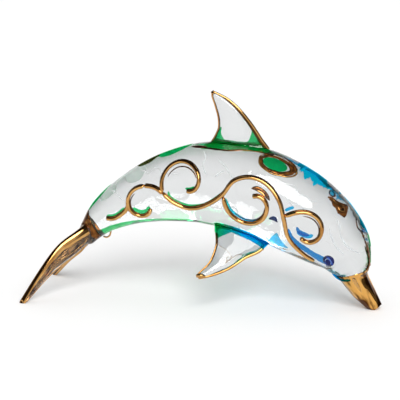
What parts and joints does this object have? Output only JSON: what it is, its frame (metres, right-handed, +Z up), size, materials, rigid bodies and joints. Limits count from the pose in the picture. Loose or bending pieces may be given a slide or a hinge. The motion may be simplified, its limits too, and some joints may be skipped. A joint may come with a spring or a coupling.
{
  "type": "glass dolphin figurine",
  "caption": "Solid clear glass dolphin in a leaping arch, standing on beak and fluke tips, with gilded rims, gilded scroll trails and coloured glass sealed inside.",
  "frame": {"origin": "under the middle of the figurine, on the surface that it stands on", "axes": "+X towards the beak, +Y towards the animal's left, +Z up"},
  "size_m": [0.1378, 0.044, 0.0828],
  "materials": {
    "clear_glass": "fire-polished clear glass with green and blue colour sealed inside",
    "gilding": "bright burnished gilding on glass",
    "colour_glass": "green glass that turns to blue towards the head, sealed in the clear glass",
    "eye_glass": "glossy dark blue glass bead"
  },
  "bodies": {
    "root": {"glass_body": "clear_glass", "scroll_trail_left": "gilding", "scroll_trail_right": "gilding", "eye_left": "eye_glass", "eye_right": "eye_glass"}
  },
  "joints": []
}
